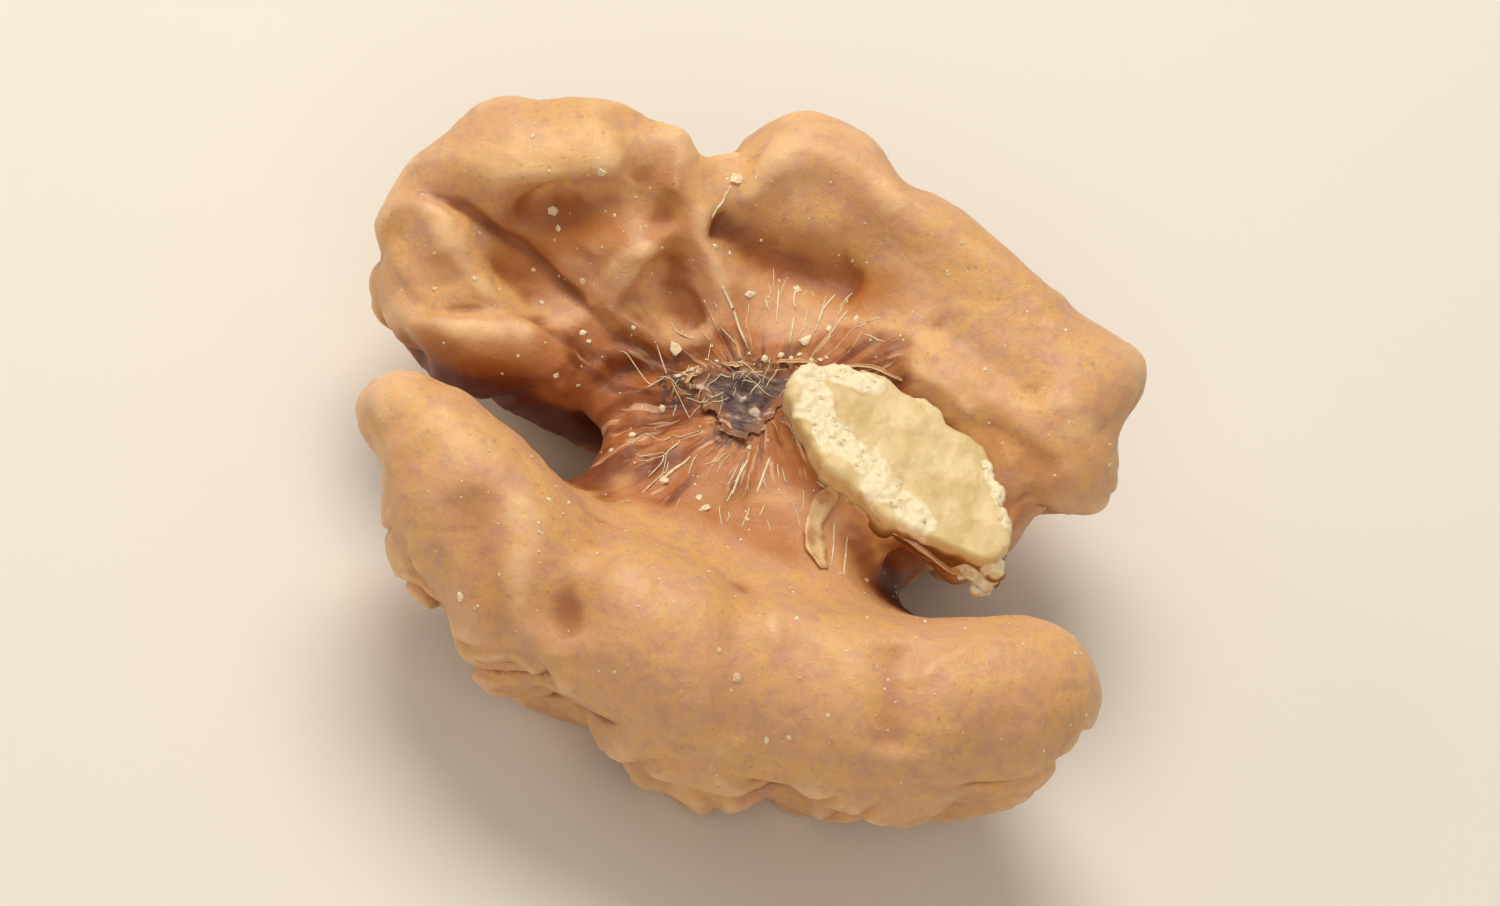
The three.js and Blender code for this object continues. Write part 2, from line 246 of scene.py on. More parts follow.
def makeMaterial(values):
    # stored attributes, patterns and mixes of them are marks, and the coats of colour follow the marks
    material, shader = newMaterial(values["name"])
    mark = {"place": addNode(material, "ShaderNodeTexCoord").outputs["Object"]}
    for name, output in values.get("attributes", []):
        mark[name] = addNode(material, "ShaderNodeAttribute", {"attribute_name": name}).outputs[output]
    for name, kind, settings, links in values["marks"]:
        links = {socket: mark[source] for socket, source in links.items()}
        mark[name] = addNode(material, kind, settings, links).outputs[0]

    # mark, colour, where it starts, where it is full, strength, kind of edge
    colour = None
    for name, hexCode, low, high, strength, *edge in values["coats"]:
        mask = addNode(material, "ShaderNodeMapRange",
                       {"interpolation_type": edge[0] if edge else "SMOOTHSTEP", "From Min": low,
                        "From Max": high, "To Max": strength}, {"Value": mark[name]})
        coat = addNode(material, "ShaderNodeMix",
                       {"data_type": "RGBA", 6: srgb(values["ground"]), 7: srgb(hexCode)},
                       {0: mask.outputs[0]})
        if colour is not None:
            material.node_tree.links.new(colour, coat.inputs[6])
        colour = coat.outputs[2]
    material.node_tree.links.new(colour, shader.inputs["Base Color"])
    for name, value in values["shader"].items():
        shader.inputs[name].default_value = value
    if "gloss" in values:
        material.node_tree.links.new(mark[values["gloss"]], shader.inputs["Roughness"])
    if "relief" in values:
        name, strength, depth = values["relief"]
        relief = addNode(material, "ShaderNodeBump", {"Strength": strength, "Distance": depth * mm},
                         {"Height": mark[name]})
        material.node_tree.links.new(relief.outputs[0], shader.inputs["Normal"])
    return material


noiseNode, mathNode, edgeNode = "ShaderNodeTexNoise", "ShaderNodeMath", "ShaderNodeMapRange"
softEdge = {"interpolation_type": "SMOOTHSTEP"}

# dried walnut pellicle: a thin waxy skin, golden and mauve by turns, with painted orange-brown shade in the
# folds
pellicle = {
    "name": "walnut pellicle", "ground": "#DCA877",
    "attributes": [("spoke", "Vector"), ("open", "Fac"), ("hollow", "Fac"), ("foldShade", "Fac"), ("crestHighlight", "Fac"),
                   ("ink", "Fac"), ("hub", "Fac"), ("rubAndHighlight", "Fac"), ("stain", "Fac")],
    "marks": [
        ("patches", noiseNode, {"Scale": per(2.4), "Detail": 4, "Roughness": 0.6, "Distortion": 0.6},
         {"Vector": "place"}),
        ("mottles", noiseNode, {"Scale": per(0.8), "Detail": 4, "Roughness": 0.6, "Distortion": 0.4},
         {"Vector": "place"}),
        ("fineMottles", noiseNode, {"Scale": per(0.28), "Detail": 3, "Roughness": 0.6}, {"Vector": "place"}),
        ("closed", mathNode, {"operation": "SUBTRACT", 0: 1.0}, {1: "open"}),
        # streaks and fibres that run out from the hub, and smudges on the stain
        ("core", edgeNode, {**softEdge, "From Min": 0.05, "From Max": 0.8}, {"Value": "hub"}),
        ("broad", noiseNode, {"Scale": 0.55, "Detail": 3, "Roughness": 0.55, "Distortion": 0.3},
         {"Vector": "spoke"}),
        ("broadEdge", edgeNode, {**softEdge, "From Min": 0.47, "From Max": 0.62, "To Max": 0.85},
         {"Value": "broad"}),
        ("streaks", mathNode, {"operation": "MULTIPLY"}, {0: "core", 1: "broadEdge"}),
        ("fine", noiseNode, {"Scale": 1.5, "Detail": 2, "Roughness": 0.5}, {"Vector": "spoke"}),
        ("fineEdge", edgeNode, {**softEdge, "From Min": 0.55, "From Max": 0.69}, {"Value": "fine"}),
        ("fibres", mathNode, {"operation": "MULTIPLY"}, {0: "core", 1: "fineEdge"}),
        ("blots", edgeNode, {**softEdge, "From Min": 0.34, "From Max": 0.56}, {"Value": "fineMottles"}),
        ("smudges", mathNode, {"operation": "MULTIPLY"}, {0: "stain", 1: "blots"}),
        # freckles, in some patches only
        ("cells", "ShaderNodeTexVoronoi", {"Scale": per(0.5)}, {"Vector": "place"}),
        ("dots", edgeNode, {**softEdge, "From Min": 0.26, "From Max": 0.08}, {"Value": "cells"}),
        ("dotted", edgeNode, {**softEdge, "From Min": 0.48, "From Max": 0.6}, {"Value": "patches"}),
        ("freckles", mathNode, {"operation": "MULTIPLY"}, {0: "dots", 1: "dotted"}),
        # pores, fine puckers and the fibres in relief
        ("pores", noiseNode, {"Scale": per(0.14), "Detail": 3, "Roughness": 0.6}, {"Vector": "place"}),
        ("puckers", noiseNode, {"Scale": per(0.5), "Detail": 4, "Roughness": 0.6, "Distortion": 0.8},
         {"Vector": "place"}),
        ("rough", mathNode, {"operation": "MULTIPLY_ADD", 1: 0.3}, {0: "pores", 2: "puckers"}),
        ("height", mathNode, {"operation": "ADD"}, {0: "rough", 1: "fibres"}),
        ("sheen", edgeNode, {"To Min": 0.39, "To Max": 0.61}, {"Value": "mottles"}),
    ],
    "coats": [
        # the ridge coat after the mottles is a painted highlight, lighter where the skin stands out
        ("patches", "#E3B16B", 0.42, 0.62, 0.75), ("mottles", "#C6967F", 0.46, 0.68, 0.6),
        ("fineMottles", "#C6967F", 0.5, 0.7, 0.5), ("crestHighlight", "#F7D3A5", 0.05, 0.95, 0.5),
        # painted shade: hollows turn orange-brown, folds dark red-brown, and shut-in clefts nearly black
        ("hollow", "#B0661A", 0.05, 0.9, 0.85), ("foldShade", "#9A5114", 0.05, 0.95, 0.8),
        ("closed", "#9C500C", 0.2, 0.46, 0.85), ("closed", "#5F1F06", 0.42, 0.68, 0.95),
        ("closed", "#1C0603", 0.66, 0.88, 0.95),
        # the red-brown hub, with dark streaks, pale fibres and smudges
        ("hub", "#B36B34", 0.02, 0.7, 0.85), ("streaks", "#7A3C1C", 0, 1, 1, "LINEAR"),
        ("fibres", "#EBC39C", 0.1, 0.9, 0.5), ("smudges", "#4A3034", 0.1, 0.7, 0.75),
        # dark lines along the creases, rubbed yellow places that also serve as painted highlights on the tops,
        # and freckles
        ("ink", "#6A3012", 0.08, 0.9, 0.85), ("rubAndHighlight", "#F5D198", 0.05, 1, 0.4),
        ("freckles", "#97603F", 0.1, 1, 0.3),
    ],
    "shader": {"IOR": 1.46, "Subsurface Weight": 0.15, "Subsurface Radius": (1.0, 0.45, 0.2),
               "Subsurface Scale": 0.8 * mm, "Coat Weight": 0.08, "Coat Roughness": 0.35},
    "gloss": "sheen", "relief": ("height", 0.42, 0.13),
}

# broken walnut flesh: waxy cream where it split clean, nearly white and dull where it crumbled
flesh = {
    "name": "broken walnut flesh", "ground": "#D8BF88",
    "attributes": [("crumbly", "Fac"), ("under", "Fac")],
    "marks": [
        ("clouds", noiseNode, {"Scale": per(1.5), "Detail": 4}, {"Vector": "place"}),
        ("grit", noiseNode, {"Scale": per(0.2), "Detail": 4, "Roughness": 0.65}, {"Vector": "place"}),
        ("patchy", mathNode, {"operation": "MULTIPLY_ADD", 1: 0.7}, {0: "grit", 2: "crumbly"}),
    ],
    "coats": [
        # painted shade: the under coats darken the stub's walls lower down
        ("clouds", "#E5CF9E", 0.4, 0.62, 1), ("under", "#A8722F", 0.1, 0.65, 1),
        ("under", "#74420F", 0.6, 1, 0.9), ("patchy", "#F4E6C3", 0.5, 1.15, 1),
        ("grit", "#A98450", 0.66, 0.76, 0.45),
    ],
    "shader": {"Roughness": 0.46, "IOR": 1.47, "Subsurface Weight": 0.35, "Subsurface Radius": (1.0, 0.7, 0.35),
               "Subsurface Scale": 1.0 * mm},
    "relief": ("grit", 0.25, 0.07),
}

# scrap of the shell's papery partition: thin and dull, purple-grey, with brown edges and torn fibres
paper = {
    "name": "papery partition", "ground": "#49353A",
    "attributes": [("edge", "Fac")],
    "marks": [
        ("stretched", "ShaderNodeMapping", {"Scale": (0.35, 1.0, 1.0), "Rotation": (0, 0, 0.5)},
         {"Vector": "place"}),
        ("fibres", noiseNode, {"Scale": per(0.4), "Detail": 5, "Roughness": 0.65}, {"Vector": "stretched"}),
    ],
    "coats": [("fibres", "#84695F", 0.4, 0.6, 1), ("edge", "#95603C", 0.15, 0.7, 1),
              ("fibres", "#E0CFB6", 0.57, 0.67, 0.85)],
    "shader": {"Roughness": 0.65}, "relief": ("fibres", 0.5, 0.1),
}

# loose bits of dry flesh and fibre: pale and dull
bits = {
    "name": "dry crumbs and fibres", "ground": "#F6E6C4",
    "marks": [("clouds", noiseNode, {"Scale": per(0.3), "Detail": 3}, {"Vector": "place"})],
    "coats": [("clouds", "#E4C39C", 0.42, 0.66, 1)],
    "shader": {"Roughness": 0.6, "Subsurface Weight": 0.25, "Subsurface Scale": 0.3 * mm},
}

# torn edges of the skin: tan and waxy
tornSkin = {
    "name": "torn pellicle edge", "ground": "#DFBC8C",
    "marks": [("clouds", noiseNode, {"Scale": per(0.6), "Detail": 3}, {"Vector": "place"})],
    "coats": [("clouds", "#C29160", 0.42, 0.66, 1)],
    "shader": {"Roughness": 0.45, "Subsurface Weight": 0.25, "Subsurface Scale": 0.3 * mm},
}

pellicleMaterial, fleshMaterial, paperMaterial, bitsMaterial, tornSkinMaterial = [
    makeMaterial(values) for values in (pellicle, flesh, paper, bits, tornSkin)]
print("materials made")


# outline of the broken stub from above, shared by the skin round it and the stub itself
stubOutline = [(1.1, 1.8), (1.3, 2.8), (2.1, 3.5), (3.0, 3.9), (4.3, 4.0), (5.5, 3.8), (6.7, 3.6), (8.1, 2.8),
               (9.4, 2.2), (10.5, 0.9), (11.1, -0.2), (11.4, -1.2), (11.5, -2.1), (10.9, -2.6), (10.0, -2.6),
               (8.6, -2.6), (7.4, -2.4), (6.3, -2.3), (5.4, -1.9), (4.5, -1.4), (3.1, -0.7), (1.8, 0.7)]

kernel = {
    "voxel": 0.19,
    "hub": (0.6, 1.9, 9.4),      # where the fibres run out from
    "hubLine": [(-5.4, -0.2, 7.6), (-3.0, 0.8, 8.3), (0.0, 1.7, 9.1), (3.0, 2.2, 9.4)], "hubReach": 4.8,
    "stains": [((-0.6, 2.4, 9.0), 2.0), ((-0.3, 0.4, 8.8), 1.2), ((-3.0, 1.9, 8.2), 1.2)],
    # walls of the clefts, darkened with painted shade: radius, stops
    "cleftShade": [(4.6, [(-15.0, -1.6, 4.2), (-11.0, -0.6, 5.0), (-8.0, 0.0, 5.4), (-6.2, 0.9, 5.8)]),
              (2.8, [(8.6, -3.2, 6.0), (11.5, -4.0, 5.6)])],
    # hollows with painted orange-brown shade: radius, strength, stops
    "paintedHollowShade": [(2.6, 0.75, [(-4.4, -2.6, 7.8), (-1.0, -3.2, 8.5), (2.5, -3.6, 8.8), (6.0, -4.4, 8.8)]),
             (2.1, 0.85, [(-13.6, 5.0, 10.6), (-10.6, 5.5, 10.2), (-8.6, 6.2, 10.9), (-5.8, 6.8, 11.6)]),
             (1.9, 0.7, [(-8.2, 9.4, 12.8), (-6.3, 8.0, 12.2), (-5.4, 6.9, 11.3), (-4.2, 5.4, 9.7)]),
             (2.2, 0.8, [(-4.4, 7.7, 11.8), (-1.2, 8.1, 10.4), (1.6, 8.2, 10.3), (6.0, 7.6, 11.0)]),
             (1.9, 0.8, [(-15.6, 0.9, 7.2), (-12.0, 0.4, 7.6), (-9.6, 0.8, 7.6), (-7.0, 1.4, 7.4)]),
             (1.5, 0.55, [(7.6, 4.4, 10.5), (11.0, 3.4, 10.1), (14.2, 2.5, 9.2)]),
             (1.6, 0.6, [(11.4, 2.2, 9.7), (14.0, -0.2, 7.4)]),
             (1.9, 0.3, [(-4.0, -4.6, 8.8), (-4.1, -9.3, 11.4), (-3.0, -13.6, 8.3)]),
             (1.7, 0.3, [(2.2, -4.6, 9.0), (2.2, -8.4, 11.4), (3.6, -13.6, 9.2)]),
             (1.9, 0.35, [(-10.2, -5.6, 11.6), (-8.4, -9.9, 11.0), (-4.8, -13.6, 8.2)]),
             (1.3, 0.35, [(8.2, -7.2, 11.4), (9.2, -10.4, 12.0), (9.8, -13.0, 9.6)])],
    # height of the skin under the broken stub, and how far it sinks more at the stub's far end
    "skinUnderStub": 9.9, "sinkMore": 0.6,
    # pulls and pushes, as with a sculptor's thumb: centre, move, radius
    "nudges": [((-1.6, 12.4, 12.2), (-0.3, 1.2, 0.3), 3.6), ((0.6, 12.2, 12.6), (0.2, 0.8, 0.1), 3.0),
               ((-4.8, 10.2, 12.0), (0.1, 0.9, 0.6), 1.8), ((-9.5, 10.5, 12.5), (-0.2, 0.5, 0.3), 3.4),
               ((-6.6, 10.0, 12.6), (0.4, 0.7, 0.3), 2.0), ((13.6, 8.3, 10.8), (0.8, 0.85, 0.5), 3.4),
               ((11.4, 10.2, 9.8), (0.2, 0.8, 0.4), 2.8), ((-13.2, 9.8, 11.2), (-0.3, 0.9, 0.5), 3.6),
               ((13.8, 3.0, 4.6), (-1.3, 0.9, 0.8), 4.4), ((13.6, 0.8, 6.8), (-1.3, 0.8, 0.3), 3.4),
               ((11.7, -2.0, 8.9), (-0.8, 0.8, -0.4), 2.2), ((7.6, -13.6, 4.6), (-0.3, 1.1, 0.6), 3.6),
               ((9.8, -12.9, 3.6), (-0.2, 0.8, 0.6), 3.2), ((4.9, -14.0, 3.6), (-0.2, 0.5, 0.4), 2.6),
               ((3.6, -14.1, 4.2), (-0.2, 0.6, 0.4), 2.6), ((1.0, -13.9, 3.4), (-0.5, 1.3, 0.9), 2.8),
               ((-3.4, -12.4, 3.2), (-0.3, 0.9, 0.6), 2.8), ((-4.4, -13.5, 5.8), (-0.4, 1.1, 0.8), 3.4),
               ((-16.4, 1.9, 8.0), (0.8, 0.1, 0.1), 2.4)],
    # creases and ridges: half width, depth (less than 0 raises), ink, ink half width, stops
    "strokes": [
        # the long crease across the far lobe, and the hollow beside it
        (0.36, 0.34, 0.8, 0.24, [(-16.6, 5.0, 10.4), (-15.8, 5.0, 10.7), (-14.6, 4.9, 11.0), (-13.2, 4.9, 10.6),
                                (-11.9, 4.9, 9.9), (-10.5, 4.8, 9.4), (-9.0, 4.4, 8.9), (-7.6, 3.8, 8.8),
                                (-6.2, 3.1, 8.5), (-4.9, 2.9, 8.4), (-3.5, 2.7, 8.4)]),
        (1.6, 0.35, 0.2, 0.9, [(-12.2, 5.3, 10.2), (-10.9, 5.9, 10.7), (-9.4, 6.4, 11.2), (-7.8, 6.9, 11.6),
                              (-6.5, 7.0, 11.7), (-5.4, 6.5, 11.4)]),
        # the crease between the first two folds of the rim, and its knob
        (1.2, 0.3, 0.35, 0.5, [(-7.9, 9.3, 12.7), (-6.9, 8.3, 12.5), (-6.2, 7.6, 12.0), (-5.6, 6.9, 11.6),
                                (-5.0, 6.3, 10.9), (-4.6, 5.7, 9.8), (-3.7, 5.2, 9.2), (-2.5, 4.5, 9.3)]),
        (0.9, -0.25, 0, 0.3, [(-8.5, 5.0, 10.2), (-8.1, 5.9, 10.9), (-7.3, 6.4, 11.3), (-6.5, 6.3, 11.5),
                              (-5.9, 5.5, 10.6)]),
        (1.3, -0.4, 0, 0.3, [(-7.6, 4.9, 10.0), (-6.2, 4.6, 9.8)]),
        # the low ridge along the cleft, and its groove
        (0.4, 0.3, 0.3, 0.25, [(-15.8, 2.1, 8.7), (-14.8, 1.5, 8.5), (-13.7, 1.1, 8.5), (-12.7, 1.3, 8.8),
                               (-11.4, 1.8, 9.1), (-9.7, 2.3, 8.7), (-8.3, 2.5, 8.4)]),
        (0.9, -0.3, 0, 0.3, [(-14.6, 0.7, 7.6), (-12.4, 0.6, 8.7), (-10.5, 1.1, 8.9), (-9.0, 1.5, 8.5),
                             (-7.1, 2.0, 8.1)]),
        (0.6, 0.12, 0.3, 0.4, [(-13.9, 3.3, 9.6), (-13.5, 2.6, 9.4), (-13.1, 2.1, 9.1)]),
        (0.5, 0.15, 0.3, 0.3, [(-17.0, 3.4, 6.8), (-16.6, 3.2, 8.6), (-15.8, 3.4, 9.9)]),
        # folds of the rim to the right of that
        (0.8, 0.3, 0.25, 0.4, [(-4.6, 11.8, 12.6), (-4.4, 11.0, 12.8), (-4.3, 10.2, 12.8), (-4.2, 9.2, 12.4),
                               (-3.8, 8.3, 11.7), (-3.4, 7.4, 10.9)]),
        (1.0, 0.5, 0.7, 0.9, [(-4.3, 7.9, 11.9), (-3.3, 8.0, 11.4), (-2.3, 8.1, 10.8), (-1.0, 8.2, 10.4),
                              (0.2, 8.2, 10.3), (1.4, 8.3, 10.4), (3.2, 8.0, 10.4)]),
        (1.4, -0.3, 0, 0.3, [(-1.4, 9.4, 11.6), (1.2, 9.8, 11.8)]),
        (0.7, 0.3, 0.2, 0.5, [(5.4, 7.4, 11.2), (7.4, 6.4, 11.3), (9.6, 5.6, 11.2), (11.4, 5.4, 11.1)]),
        (0.5, 0.25, 0.25, 0.3, [(8.6, 4.2, 10.4), (10.4, 3.6, 10.2), (12.4, 3.2, 9.9)]),
        (0.5, 0.2, 0.25, 0.3, [(11.4, 2.0, 9.8), (12.6, 1.2, 9.4), (13.4, 0.2, 8.6)]),
        # the bridge's torn edge over the cleft
        (0.45, -0.4, 0, 0.3, [(-6.2, 0.6, 6.4), (-5.1, 1.1, 7.3), (-3.9, 1.9, 8.0), (-2.8, 2.6, 8.5),
                              (-1.8, 3.3, 8.9)]),
        (0.45, 0.45, 0.8, 0.4, [(-6.4, 1.9, 7.0), (-5.2, 2.2, 7.8), (-4.0, 2.8, 8.2), (-3.0, 3.4, 8.6),
                                (-2.2, 4.0, 8.9)]),
        # thin dark lines that run in to the hub
        (0.2, 0.12, 0.7, 0.14, [(-4.8, 5.6, 9.8), (-3.9, 5.4, 9.4), (-3.1, 4.8, 9.3), (-2.1, 4.1, 9.2)]),
        (0.2, 0.12, 0.7, 0.12, [(-6.3, 3.4, 8.7), (-5.0, 3.2, 8.6), (-3.8, 3.1, 8.5)]),
        (0.2, 0.1, 0.5, 0.12, [(-4.1, 5.0, 9.3), (-3.0, 4.2, 9.1), (-2.2, 3.5, 8.9)]),
        # soft folds of the near lobe, and its pale fine ridges
        (1.2, 0.4, 0.12, 0.9, [(-4.0, -5.4, 9.2), (-4.0, -7.4, 10.8), (-4.1, -9.3, 11.4), (-4.1, -11.6, 10.5),
                              (-2.7, -13.4, 8.4)]),
        (1.0, 0.4, 0.12, 0.8, [(2.2, -6.1, 9.7), (2.2, -8.4, 11.4), (2.4, -10.4, 11.6), (3.0, -12.1, 11.0),
                              (3.8, -13.7, 8.6)]),
        (1.0, 0.35, 0.1, 0.8, [(-9.4, -8.2, 11.6), (-7.9, -10.9, 10.6), (-6.3, -12.8, 9.5),
                              (-4.2, -13.6, 8.1)]),
        (1.0, 0.35, 0.1, 0.8, [(8.4, -8.2, 11.9), (9.2, -10.4, 12.0), (9.8, -12.5, 10.2)]),
        (0.3, -0.12, 0, 0.2, [(3.3, -8.6, 11.4), (3.9, -9.8, 11.5), (4.8, -10.6, 11.3), (5.6, -11.4, 11.2)]),
        (0.3, -0.1, 0, 0.2, [(12.9, -6.4, 11.8), (11.8, -6.6, 11.7), (10.9, -7.9, 12.0), (10.1, -9.1, 12.0),
                             (9.5, -10.1, 11.9)]),
        (0.25, 0.1, 0.5, 0.3, [(-15.6, -5.6, 10.4), (-14.4, -4.2, 10.6), (-12.9, -3.9, 10.6),
                               (-11.2, -4.6, 10.6)]),
    ],
    # rubbed places, where the skin is thin and yellow, which on the tops also serve as painted highlights:
    # centre, radius
    "rubsAndHighlights": [((-7.1, -8.5, 11.8), 1.5), ((-11.8, 7.2, 12.6), 2.2), ((-9.2, 8.6, 13.0), 1.6),
             ((8.9, -9.6, 12.2), 1.5), ((12.2, 4.8, 11.2), 1.6), ((-2.0, 11.0, 12.6), 1.8),
             ((-10.5, -6.4, 11.6), 1.6)],
    "sharpPasses": 300, "valleys": 0.1, "backValleys": 0.85, "ridges": 0.15,
    "gyri": (3.6, 0.75), "puckers": (1.2, 0.1), "grain": (0.5, 0.03),
    "broadPasses": 40, "hollowRange": (0.1, 1.1), "crestRange": (0.02, 0.3), "foldRange": (0.03, 0.25),
    "rays": 20, "rayReach": 7.0,
}


def weldedNode(name):
    # a CAD node in millimetres, with the points joined that its file splits
    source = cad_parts[name]
    mesh = source.data.copy()
    mesh.transform(Matrix.Scale(1 / mm, 4) @ source.matrix_world)
    joined = bmesh.new()
    joined.from_mesh(mesh)
    bmesh.ops.remove_doubles(joined, verts=joined.verts, dist=0.002)
    joined.to_mesh(mesh)
    joined.free()
    return mesh


def carveKernel(values):
    coarse = Skin(weldedNode("kernel"))
    broadHollow = -coarse.standsOut(values["broadPasses"])
    coarseTree = nearestOf(coarse.points)
    skin = Skin(remeshed(coarse.mesh, values["voxel"], rounding=1))
    skin.settle(6)
    print("kernel skin:", len(skin.points), "points")
    broadHollow = np.array([broadHollow[coarseTree.find(Vector(p))[1]] for p in skin.points])

    # under the broken stub the skin stays low, most of all at the stub's far end
    edgeLine = np.array([(x, y, 0) for x, y in stubOutline + stubOutline[:1]], float)
    outside = distanceToLine(skin.points * (1, 1, 0), edgeLine)[0]
    outside[insideOutline(skin.points, stubOutline)] = 0
    farEnd = fade(skin.points[:, 0] - 0.4 * skin.points[:, 1], 9.2, 11.2)
    covered = (1 - fade(outside - values["sinkMore"] * farEnd, 0.1, 0.9)) * fade(skin.points[:, 2], 8.4, 9.0)
    lowered = np.minimum(skin.points[:, 2], values["skinUnderStub"] - values["sinkMore"] * farEnd)
    skin.points[:, 2] += covered * (lowered - skin.points[:, 2])
    skin.settle(16, fade(covered, 0.02, 0.3) * fade(outside, 0.0, 0.4))
    for centre, move, radius in values["nudges"]:
        weight = 1 - fade(np.linalg.norm(skin.points - centre, axis=1), 0, radius)
        skin.points = skin.points + weight[:, None] * np.array(move)
    skin.refresh()

    facingDown = fade(-skin.normals[:, 2], -0.45, 0.5)
    low = fade(skin.points[:, 2], 0.15, 1.2)     # the flat spots that it rests on stay flat
    out = skin.standsOut(values["sharpPasses"])
    deeper = values["valleys"] + (values["backValleys"] - values["valleys"]) * facingDown
    skin.push((deeper * np.clip(out, -0.9, 0) + values["ridges"] * np.clip(out, 0, 0.6)) * low)

    tree = skin.tree()
    ink = np.zeros(len(skin.points))
    offset = np.zeros(len(skin.points))
    waver = 0.16 * noiseAt(skin.points, 0.9, 12)
    patchy = 0.62 + 0.55 * noiseAt(skin.points, 1.3, 13)
    for width, depth, inkAmount, inkWidth, stops in values["strokes"]:
        line = smoothLine([tree.find_nearest(Vector(stop))[0] for stop in stops])
        d, along = distanceToLine(skin.points, line)
        ends = fade(along, 0, 0.12) * fade(1 - along, 0, 0.12)
        offset -= depth * ends * np.exp(-(d / width) ** 2)
        drawn = inkAmount * np.clip(patchy, 0.2, 1) * ends * np.exp(-((d + waver) / inkWidth) ** 2)
        ink = np.maximum(ink, drawn)

    # winding furrows over the back and the flanks, shallower on the inner face
    size, depth = values["gyri"]
    bend = np.stack([noiseAt(skin.points, 5.0, s) for s in (1, 2, 3)], axis=1) * 1.6
    furrow = np.clip(1 - np.abs(noiseAt(skin.points + bend, size, 4)) * 5, 0, 1) ** 2
    offset -= depth * furrow * (0.06 + 0.94 * facingDown)
    size, depth = values["puckers"]
    pucker = np.clip(1 - np.abs(noiseAt(skin.points + bend * 0.4, size, 5)) * 4, 0, 1)
    offset -= depth * pucker * (0.3 + 0.7 * facingDown)
    size, depth = values["grain"]
    offset += depth * noiseAt(skin.points, size, 6)

    # the hub is wrinkled outwards and crumpled round the scrap of partition
    away = skin.points - values["hub"]
    reach = np.linalg.norm(away * (1, 1, 0.6), axis=1)
    turn = np.arctan2(away[:, 1], away[:, 0])
    ragged = distanceToLine(skin.points, np.array(values["hubLine"]))[0] + 1.6 * noiseAt(skin.points, 2.0, 8)
    hub = (1 - fade(ragged, 2.6, values["hubReach"])) * fade(skin.normals[:, 2], -0.1, 0.3)
    spoke = np.stack([np.cos(turn) * 9, np.sin(turn) * 9, reach * 0.35], axis=1)
    offset += 0.1 * hub * noiseAt(spoke, 0.8, 14) + 0.14 * hub * noiseAt(skin.points, 0.6, 15)
    offset += 0.12 * fade(hub, 0.5, 0.95) * noiseAt(skin.points, 0.35, 16)
    skin.push(offset * low)
    skin.settle(1)
    skin.points = np.clip(skin.points, np.array(cadBox[0]) / mm, np.array(cadBox[1]) / mm)
    skin.refresh()
    print("kernel carved")

    # painted highlight on the ridges and painted shade in the folds, from how far the skin stands out
    out = skin.standsOut(60)
    skin.store("crestHighlight", fade(out, *values["crestRange"]))
    skin.store("foldShade", fade(-out, *values["foldRange"]))
    # painted orange-brown shade in the broad hollows and along the listed hollows
    paintedHollowShade = fade(skin.smoothed(broadHollow, 20), *values["hollowRange"])
    for radius, strength, stops in values["paintedHollowShade"]:
        line = smoothLine([tree.find_nearest(Vector(stop))[0] for stop in stops])
        d, along = distanceToLine(skin.points, line)
        ends = fade(along, 0, 0.3) * fade(1 - along, 0, 0.3)
        d = d + 0.5 * noiseAt(skin.points, 1.4, 17)
        paintedHollowShade = np.maximum(paintedHollowShade, strength * ends * (1 - fade(d, 0.1 * radius, radius)))
    skin.store("hollow", paintedHollowShade)
    # painted shade from how shut in each point is, darker still on the walls of the clefts
    light = skin.smoothed(openness(skin, values["rays"], values["rayReach"]), 3)
    for radius, stops in values["cleftShade"]:
        d = distanceToLine(skin.points, smoothLine(stops))[0] + 0.4 * noiseAt(skin.points, 1.2, 11)
        light = light * (1 - 0.6 * (1 - fade(d, 0.35 * radius, radius)))
    skin.store("open", light)
    skin.store("ink", ink * low)
    skin.store("hub", hub)
    skin.store("spoke", spoke)
    # rubbed yellow places, lying on the tops, where they also serve as painted highlights
    rubAndHighlight = np.zeros(len(skin.points))
    for centre, radius in values["rubsAndHighlights"]:
        d = np.linalg.norm(skin.points - centre, axis=1) + 0.9 * noiseAt(skin.points, 0.9, 9)
        rubAndHighlight = np.maximum(rubAndHighlight, 1 - fade(d, 0, radius))
    skin.store("rubAndHighlight", rubAndHighlight)
    stain = np.zeros(len(skin.points))
    for centre, radius in values["stains"]:
        d = np.linalg.norm(skin.points - centre, axis=1) + 0.5 * noiseAt(skin.points, 0.8, 10)
        stain = np.maximum(stain, 1 - fade(d, 0.2 * radius, 1.1 * radius))
    skin.store("stain", stain)
    return skin


def openness(skin, rays, reach):
    # how much light gets to each point: 1 is open, 0 is shut in
    tree = skin.tree()
    spread = []
    for i in range(rays):
        z = math.sqrt((i + 0.5) / rays)
        angle = i * math.pi * (3 - math.sqrt(5))
        side = math.sqrt(1 - z * z)
        spread.append(Vector((side * math.cos(angle), side * math.sin(angle), z)))
    result = np.zeros(len(skin.points))
    for i, (p, n) in enumerate(zip(skin.points, skin.normals)):
        turn = Vector((0, 0, 1)).rotation_difference(Vector(n))
        start = Vector(p + n * 0.05)
        clear = 0.0
        for direction in spread:
            hit = tree.ray_cast(start, turn @ direction, reach)
            clear += 1.0 if hit[0] is None else (hit[3] / reach) ** 0.7
        result[i] = clear / rays
    return result


kernelSkin = carveKernel(kernel)
kernelTree = kernelSkin.tree()
kernelPoints, kernelNormals = kernelSkin.points.copy(), kernelSkin.normals.copy()
finishPiece("kernelSkin", kernelSkin.mesh, pellicleMaterial)
print("kernel finished")


